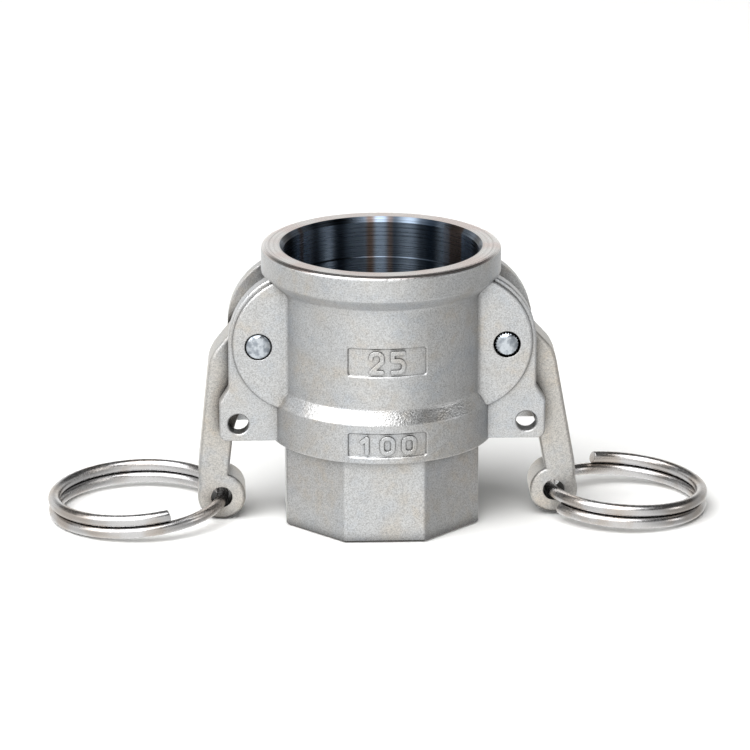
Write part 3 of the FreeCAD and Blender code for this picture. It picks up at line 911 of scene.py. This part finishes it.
@dataclass
class HingePin:
    """A pressed pin with crowned ends and a knurled stretch in one ear."""

    side: Side
    crown: float
    crown_power: float
    radius: float = 2.50 * MM
    groove_depth: float = 0.30 * MM
    knurl_length: float = 3.5 * MM
    teeth: int = 24
    columns: int = 192
    shaft_rows: int = 150
    crown_middle: tuple[float, float, int] = (0.02, 0.9, 26)
    crown_edge: tuple[float, float, int] = (0.09, 0.002, 14)
    runout: float = 0.1
    groove_fade: float = 0.2

    def build(self, low: Vector, high: Vector) -> bpy.types.Object:
        """Turn the pin.

        The radius depends on the place along the pin: a crown where the share of the radius and
        the share of the crown's depth, each to a power, add to one, then a plain shaft. In the
        knurled stretch, which starts at one end, grooves go below the shaft and leave sharp teeth
        between them. The grooves fade in over the outer fifth of the crown. The crown's rows are even
        in its middle and crowd together towards its edge, given as shares of the radius.

        Args:
            low: Lowest corner of the pin's solid.
            high: Highest corner of the pin's solid.

        Returns:
            The pin, with its distance from its own axis stored on its points.
        """
        half = (high.y - low.y) / 2
        centre = np.array((low + high) / 2)
        share = np.concatenate([np.linspace(*self.crown_middle),
                                1 - np.geomspace(*self.crown_edge)])
        rise = self.crown * (1 - (1 - share ** self.crown_power) ** (1 / self.crown_power))
        end_y, end_r = half - rise, self.radius * share
        shaft_y = np.linspace(end_y[-1], -end_y[-1], self.shaft_rows)[1:-1]
        along = np.concatenate([end_y, shaft_y, -end_y[::-1]])
        radius = np.concatenate([end_r, np.full(len(shaft_y), self.radius), end_r[::-1]])
        around = np.linspace(0, FULL_TURN, self.columns, endpoint=False)
        tooth = 1 - np.abs(2 * ((around * self.teeth / FULL_TURN) % 1) - 1)
        into = half + self.side.value * along
        knurled = np.clip((1 - into / self.knurl_length) / self.runout, 0, 1)[:, None]
        fade = 1 - (1 - radius[:, None] / self.radius) / self.groove_fade
        outer_fifth = np.clip(fade, 0, 1)
        grooves = self.groove_depth * (1 - tooth) * outer_fifth
        reach = radius[:, None] - knurled * grooves
        grid = np.stack([reach * np.cos(around), np.broadcast_to(along[:, None], reach.shape),
                         reach * np.sin(around)], -1)
        name = f"{self.side.name.lower()}_pressed_pin"
        pin = lay_surface(name, grid + centre, cap_ends=True)
        own = np.zeros((len(pin.data.vertices), 3), np.float32)
        own[:reach.size, 0] = reach.ravel()
        store_own(pin, own)
        return pin


@dataclass
class Seal:
    """The moulded seal ring: rounded corners and a thin flash line round its inner wall."""

    inner: float = 13.5 * MM
    corner: float = 0.5 * MM
    flash: float = 0.07 * MM
    flash_width: float = 0.12 * MM
    columns: int = 180
    corner_steps: int = 9
    wall_steps: int = 33

    def build(self, low: Vector, high: Vector) -> bpy.types.Object:
        """Turn the seal.

        The section is a rectangle with quarter-round corners, walked once round. On the inner
        wall a bell-shaped ridge stands out by the flash at half height.

        Args:
            low: Lowest corner of the seal's solid.
            high: Highest corner of the seal's solid.

        Returns:
            The seal.
        """
        top, bottom = high.z - self.corner, low.z + self.corner
        outside, inside = high.x - self.corner, self.inner + self.corner
        corners = []
        for quarter, middle in enumerate([(outside, top), (inside, top),
                                          (inside, bottom), (outside, bottom)]):
            turn = np.linspace(0, QUARTER_TURN, self.corner_steps) + quarter * QUARTER_TURN
            corners.append(middle + self.corner * np.stack([np.cos(turn), np.sin(turn)], -1))
        down = np.linspace(top, bottom, self.wall_steps)[1:-1]
        wall = np.stack([np.full_like(down, self.inner), down], -1)
        profile = np.concatenate([*corners[:2], wall, *corners[2:]])
        bell = np.exp(-((profile[:, 1] - (top + bottom) / 2) / self.flash_width) ** 2)
        on_wall = profile[:, 0] < self.inner + self.corner / 10
        radius = profile[:, 0] - self.flash * bell * on_wall
        around = np.linspace(0, FULL_TURN, self.columns, endpoint=False)
        grid = np.stack([radius[:, None] * np.cos(around), radius[:, None] * np.sin(around),
                         np.broadcast_to(profile[:, 1:], (len(profile), len(around)))], -1)
        return lay_surface("moulded_seal", grid, loop_rows=True)


@dataclass
class PipeThread:
    """The turns of a one inch parallel pipe thread, standing in the plain bore of the body."""

    root_radius: float = 16.60 * MM
    crest_radius: float = 15.15 * MM
    back_radius: float = 16.612 * MM
    pitch: float = 2.309 * MM
    depth: float = 15.45 * MM
    runout: float = 1.7 * MM
    mouth_radius: float = 17.07 * MM
    foot_gap: float = 0.05 * MM
    roundness: float = 0.45
    columns: int = 216
    rows_per_turn: int = 18
    back_rows: int = 4

    def build(self) -> bpy.types.Object:
        """Cut the thread.

        Round the bore and along it, the radius follows one wave for each pitch, which has gone
        round once when it has risen by a pitch. The wave is a triangle whose crests and roots are
        rounded by a sine. At the mouth the countersink's cone trims it, and at the bottom it fades
        into the root. A plain wall at the back, just inside the bore, closes the surface.

        Returns:
            The thread.
        """
        rows = int(self.depth / self.pitch * self.rows_per_turn)
        height = np.linspace(self.foot_gap, self.depth, rows)[:, None]
        around = np.linspace(0, FULL_TURN, self.columns, endpoint=False)[None, :]
        phase = height / self.pitch - around / FULL_TURN
        triangle = 2 * np.abs(2 * (phase - np.floor(phase + 0.5))) - 1
        wave = np.clip(self.roundness * np.sin(triangle * QUARTER_TURN)
                       + (1 - self.roundness) * triangle, -1, 1)
        share = (wave + 1) / 2 * np.clip((self.depth - height) / self.runout, 0, 1)
        radius = self.root_radius - (self.root_radius - self.crest_radius) * share
        radius = np.maximum(radius, np.minimum(self.mouth_radius - height, self.root_radius))
        front = np.stack([radius * np.cos(around), radius * np.sin(around),
                          np.broadcast_to(height, radius.shape)], -1)
        back_height = height[::-1][::rows // self.back_rows]
        back_radius = np.full((len(back_height), self.columns), self.back_radius)
        back = np.stack([back_radius * np.cos(around), back_radius * np.sin(around),
                         np.broadcast_to(back_height, back_radius.shape)], -1)
        return lay_surface("pipe_thread_turns", np.concatenate([front, back]), loop_rows=True)


@dataclass
class Coupler:
    """The whole coupler: the dressed casting and levers, and the pieces that are built here."""

    frame: dict
    rings: list[PullRing] = field(default_factory=lambda: [
        PullRing(Side.LEFT, mean_radius=16.30 * MM, slope=3.05, roll=2.0,
                 inset=-0.25 * MM, end_shear=0.10),
        PullRing(Side.RIGHT, mean_radius=14.70 * MM, slope=4.4, roll=1.0,
                 inset=-0.45 * MM, end_shear=0.22),
    ])
    pins: list[HingePin] = field(default_factory=lambda: [
        HingePin(Side.LEFT, crown=0.90 * MM, crown_power=2.2),
        HingePin(Side.RIGHT, crown=1.15 * MM, crown_power=1.9),
    ])

    def joint_place(self, name: str) -> np.ndarray:
        """Where a joint's axis stands, in metres."""
        return np.array(next(j["pos_m"] for j in self.frame["joints"] if j["name"] == name))

    def build(self) -> None:
        """Dress the casting and levers, then build every other piece in its place."""
        nodes = self.frame["nodes"]
        finish = MachinedCasting(total_height=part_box("coupler_body")[1].z)
        dress(nodes["coupler_body"], finish.material())
        log.info("coupler_body: dressed")
        cast = BlastedCasting("blasted_lever_casting", steel="d5d2cd", warm="d5ccc0",
                              cool="cecfd0").material()
        for lever in ("left_cam_lever", "right_cam_lever"):
            dress(nodes[lever], cast)
            log.info("%s: dressed", lever)
        wire, steel = SatinWire().material(), RivetedPin().material()
        for ring in self.rings:
            side = ring.side.name.lower()
            eye = self.joint_place(f"{side}_ring_swing")
            set_down(ring.build(eye), f"{side}_ring", f"{side}_pull_ring", wire)
        for pin in self.pins:
            node = f"{pin.side.name.lower()}_hinge_pin"
            set_down(pin.build(*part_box(node)), "coupler", node, steel)
        seal = Seal().build(*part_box("gasket"))
        set_down(seal, "coupler", "gasket", MouldedRubber().material())
        set_down(PipeThread().build(), "coupler", None, CutThread().material())


# ---------------------------------------------------------------- studio


@dataclass(frozen=True)
class Softbox:
    """One soft light: where it stands, its size and its power, in metres and watts."""

    name: str
    place: tuple[float, float, float]
    width: float
    height: float
    power: float


@dataclass
class Studio:
    """A pale floor, soft light from boxes and a long lens a little above the rim.

    The camera's elevation and turn are in degrees, its lens and sensor in millimetres. Each fall
    of the room's light reads one part of the direction: X for the sides, Z for up, Y for front.
    """

    elevation: float = 17.77
    turn: float = 2.213
    distance: float = 0.86028
    aim_side: float = -1.137 * MM
    aim_height: float = 27.62 * MM
    lens: float = 215.03
    sensor: float = 36.0
    clip: tuple[float, float] = (0.05, 20.0)
    floor_size: float = 6.0
    floor_colour: str = "f8f8f7"
    floor_roughness: float = 0.9
    air_colour: str = "f6f6f4"
    left_fall: Ease = (-1.0, -0.25, 0.88, 1.32)
    right_fall: Ease = (0.05, 0.95, 1.32, 0.50)
    high_fall: Ease = (0.33, 0.50, 1.0, 0.05)
    front_fall: Ease = (-0.50, -0.10, 0.7, 0.0)
    front_side_fall: Ease = (0.00, 0.45, 1.0, 0.0)
    softboxes: list[Softbox] = field(default_factory=lambda: [
        Softbox("key_box", (-1.00, -0.50, 0.80), 0.9, 0.9, 4.6),
        Softbox("side_box", (0.95, -0.30, 0.22), 0.2, 0.4, 0.6),
        Softbox("top_box", (-0.42, -0.55, 1.25), 1.7, 1.6, 33.0),
    ])

    def camera(self) -> None:
        """Stand the camera at the elevation and turn, looking at the aim point."""
        tilt, yaw = math.radians(self.elevation), math.radians(self.turn)
        ahead = Vector((0, math.cos(tilt), -math.sin(tilt)))
        aim = Vector((self.aim_side, 0, self.aim_height))
        turn = Matrix.Rotation(-yaw, 3, "Z")
        place, look = turn @ (aim - ahead * self.distance), turn @ ahead
        data = bpy.data.cameras.new("camera")
        data.lens, data.sensor_width = self.lens, self.sensor
        data.clip_start, data.clip_end = self.clip
        camera = bpy.data.objects.new("camera", data)
        camera.location = place
        camera.rotation_euler = look.to_track_quat("-Z", "Y").to_euler()
        bpy.context.scene.collection.objects.link(camera)
        bpy.context.scene.camera = camera

    def lights(self) -> None:
        """Hang the softboxes, each turned to the coupler."""
        for box in self.softboxes:
            data = bpy.data.lights.new(box.name, "AREA")
            data.shape, data.size, data.size_y = "RECTANGLE", box.width, box.height
            data.energy = box.power
            lamp = bpy.data.objects.new(box.name, data)
            lamp.location = box.place
            towards = Vector((0, 0, self.aim_height)) - lamp.location
            lamp.rotation_euler = towards.to_track_quat("-Z", "Y").to_euler()
            bpy.context.scene.collection.objects.link(lamp)

    def room(self) -> None:
        """Fill the room: pale low down and in front, dimmer on the right, dark high at the back."""
        world = bpy.data.worlds.new("studio_room")
        world.use_nodes = True
        tree = world.node_tree
        tree.nodes.clear()
        way = add_node(tree, "TexCoord").outputs["Generated"]
        x, y, z = add_node(tree, "SeparateXYZ", (way,)).outputs
        left, right, high, front, front_side = (
            add_node(tree, "MapRange", (part, *fall), **EASED).outputs[0]
            for part, fall in ((x, self.left_fall), (x, self.right_fall), (z, self.high_fall),
                               (y, self.front_fall), (x, self.front_side_fall)))
        sides = add_node(tree, "Math", (left, right), operation="MINIMUM").outputs[0]
        screen = add_node(tree, "Math", (front, front_side), operation="MULTIPLY").outputs[0]
        fill = add_node(tree, "Math", (high, screen), operation="MAXIMUM").outputs[0]
        strength = add_node(tree, "Math", (sides, fill), operation="MULTIPLY").outputs[0]
        air = add_node(tree, "Background", (linear(self.air_colour), strength)).outputs[0]
        add_node(tree, "OutputWorld", (air,))
        bpy.context.scene.world = world

    def floor(self) -> None:
        """Lay a plain pale floor level with the coupler's foot."""
        half = self.floor_size / 2
        mesh = bpy.data.meshes.new("studio_floor")
        mesh.from_pydata([(-half, -half, 0), (half, -half, 0), (half, half, 0), (-half, half, 0)],
                         [], [(0, 1, 2, 3)])
        floor = bpy.data.objects.new("studio_floor", mesh)
        floor.visible_glossy = False  # polished steel mirrors the room instead of the paper
        bpy.context.scene.collection.objects.link(floor)
        material, tree = blank_material("white_paper")
        shader = add_node(tree, "BsdfPrincipled", {"Base Color": linear(self.floor_colour),
                                                   "Roughness": self.floor_roughness})
        dress(floor, finish_material(material, shader.outputs[0]))

    def build(self) -> None:
        """Set up the whole studio."""
        self.floor()
        self.lights()
        self.room()
        self.camera()
        bpy.context.scene.view_settings.view_transform = "Standard"


def main() -> None:
    """Load the frame, build and dress every piece, and light the studio."""
    logging.basicConfig(level=logging.INFO, format="%(name)s: %(message)s")
    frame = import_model()
    Studio().build()
    Coupler(frame).build()


if __name__ == "__main__":
    main()
